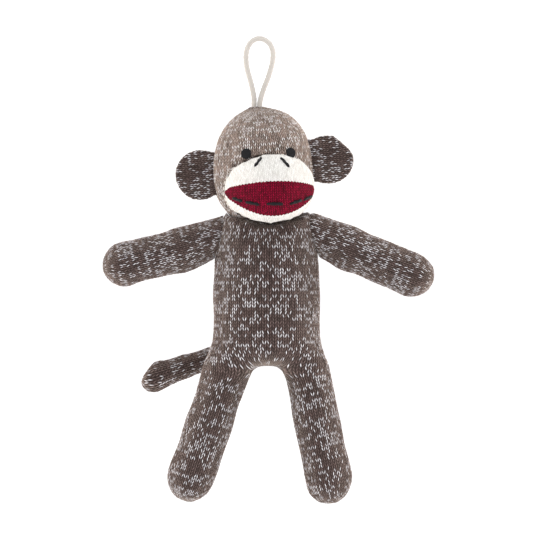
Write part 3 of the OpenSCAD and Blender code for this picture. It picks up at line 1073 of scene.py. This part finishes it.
def dashes(tree, ends, out):
    """Lines of points for stitches between pairs of places on the surface. Their ends dip into it."""
    lines = []
    for start, end in ends:
        line = []
        for t in np.linspace(0, 1, 6):
            x, z = np.add(start, np.subtract(end, start) * t)
            line.append(on_surface(tree, x, z, out if 0 < t < 1 else out - 0.25))
        lines.append(line)
    return lines


MOUTH_ENDS = [
    ((-20.4, -6.7), (-15.1, -8.5)), ((-13.3, -8.9), (-5.9, -10.4)), ((-2, -9.9), (7, -10)),
    ((10.5, -10), (17, -7.8)), ((17.9, -7.8), (22.6, -5.6)),
]
NOSTRIL_ENDS = [((-4.8, 15.4), (-8.6, 10.2)), ((5.6, 15.2), (10.4, 10))]


def make_face(tree):
    mouth = thread("mouth_thread", dashes(tree, MOUTH_ENDS, 0.4), 1.7, BLACK)
    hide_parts("mouth_stitches")
    nostrils = thread("nostril_thread", dashes(tree, NOSTRIL_ENDS, 0.4), 1.6, BLACK)
    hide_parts("nostril_stitches")
    for piece in (mouth, nostrils):
        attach(piece, "head")
    for side in ("left", "right"):
        make_eye(side)


def make_eye(side):
    """Satin stitch: a low dome of parallel threads."""
    low, high = box_of(f"eye_{side}")
    centre = (low + high) / 2
    radius = (high[2] - low[2]) / 2 * 1.06
    out = centre - HEAD_C
    out = out / HEAD_S**2
    out /= np.linalg.norm(out)
    lines = []
    up = np.array([0, 0, 1.0]) - out * out[2]
    up /= np.linalg.norm(up)
    across = np.cross(out, up)
    for row in np.linspace(-1, 1, 11)[1:-1]:
        half = radius * math.sqrt(1 - row * row) * 1.02
        lines.append([
            centre + across * row * radius + up * half * t + out * (0.5 * (1 - 0.6 * t * t - 0.5 * row * row))
            for t in np.linspace(-1, 1, 7)
        ])
    eye = thread(f"eye_{side}_thread", lines, 0.85, BLACK, across=out)
    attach(eye, "head")
    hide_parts(f"eye_{side}")


def make_ear(side):
    centre, axes = ear_frame(side)

    def held(p):
        return ((p - centre) @ axes)[:, 0] < -8.5

    skin = knit_skin(
        ear_shape(side), centre - 17, centre + 17, 1.3, 2, ear_uv(side), held, 61,
        most=0.3, bumps=0.15, relief=0.35,
    )
    ear = part_of(skin, lambda c: c[:, 0] < 1e9, f"ear_{side}_skin", YARN)
    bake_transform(ear)
    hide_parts(f"ear_{side}_cover", f"ear_{side}_filling")


def sewn_edge(outer, inner, places):
    """Points on the inner mesh where the outer one stops covering it, found along rays from near to far."""
    points = []
    for near, far, way in places:
        for _ in range(14):
            mid = (near + far) / 2
            a = outer.ray_cast(Vector(mid), Vector(way))
            b = inner.ray_cast(Vector(mid), Vector(way))
            ahead = a[0] is not None and (b[0] is None or a[3] < b[3])
            near, far = (mid, far) if ahead else (near, mid)
        hit = inner.ray_cast(Vector(far), Vector(way))
        if hit[0] is not None:
            points.append(np.array(hit[0]))
    return points


def make_muzzle_seam(muzzle, head):
    """Small stitches where the muzzle's edge is sewn to the head."""
    way = FACE @ np.array([0, 1.0, 0])
    places = []
    for angle in np.linspace(-38, 218, 220):
        a = math.radians(angle)
        out = np.array([math.cos(a), 0, math.sin(a)])
        middle_of = np.array([MUZZLE_C[0], -80, MUZZLE_C[2]])
        places.append((from_face(middle_of), from_face(middle_of + out * 30), way))
    edge = sewn_edge(muzzle, head, places)
    lines = [[p - way * 0.05 for p in edge[i:i + 5]] for i in range(0, len(edge) - 5, 6)]
    seam = thread("muzzle_seam_thread", lines, 0.55, CREAM_THREAD)
    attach(seam, "head")
    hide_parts("muzzle_seam")


def make_crown_stitches(head):
    """The thread that gathers the head's crown round the ends of the loop."""
    centre = middle("crown_stitches")
    lines = []
    for k in range(9):
        a = 2 * math.pi * (k + 0.3) / 9
        line = []
        for r in (1.9, 2.6, 3.4, 4.2):
            top = centre + np.array([r * 1.25 * math.cos(a + 0.12 * r), r * math.sin(a + 0.12 * r), 12])
            hit = head.ray_cast(Vector(top), Vector((0, 0, -1)))
            line.append(np.array(hit[0]) - [0, 0, 0.5 if r in (1.9, 4.2) else 0.05])
        lines.append(line)
    crown = thread("crown_thread", lines, 0.7, BROWN_THREAD)
    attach(crown, "head")
    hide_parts("crown_stitches")


def make_neck_seam(body, head):
    """Slanted stitches in the crease between head and torso."""
    count = 150
    places = []
    for k in range(count):
        a = 2 * math.pi * k / count
        way = -np.array([math.cos(a), math.sin(a), 0])
        low = NECK - way * 60 - [0, 0, 19]
        places.append((low, low + [0, 0, 14], way))
    edge = sewn_edge(body, head, places)
    lines = []
    for i in range(0, len(edge) - 4, 4):
        run = edge[i:i + 4]
        inward = [(NECK - p) * [1, 1, 0] / 22 for p in run]
        lines.append([p + w * 0.3 + [0, 0, 0.2 * j - 0.3] for j, (p, w) in enumerate(zip(run, inward))])
    seam = thread("neck_thread", lines, 0.5, BROWN_THREAD, across=(0, 0, 1.0))
    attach(seam, "neck")
    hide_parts("neck_seam")


def make_back_seam():
    """The ladder of stitches that closes the back after stuffing."""
    low, high = box_of("back_seam")
    x = (low[0] + high[0]) / 2
    lines = []
    for z in np.linspace(high[2] - 1.5, low[2] + 1.5, 7):
        depth = torso_half_depth(np.array([z]))[0] + 0.45
        lines.append([
            [x - 1.7, depth - 0.5, z + 0.5], [x - 0.8, depth, z + 0.25],
            [x + 0.8, depth, z - 0.25], [x + 1.7, depth - 0.5, z - 0.5],
        ])
    seam = thread("back_thread", lines, 0.9, BROWN_THREAD)
    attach(seam, "torso")
    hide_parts("back_seam")


camera_and_light()
hanging_loop(CORD)
stage()
body_tree = make_body()
for which in SIDES:
    make_arm(which)
    make_ear(which)
make_tail()
head_tree = make_head()
muzzle_tree = make_muzzle()
make_face(muzzle_tree)
make_muzzle_seam(muzzle_tree, head_tree)
make_crown_stitches(head_tree)
make_neck_seam(body_tree, head_tree)
make_back_seam()
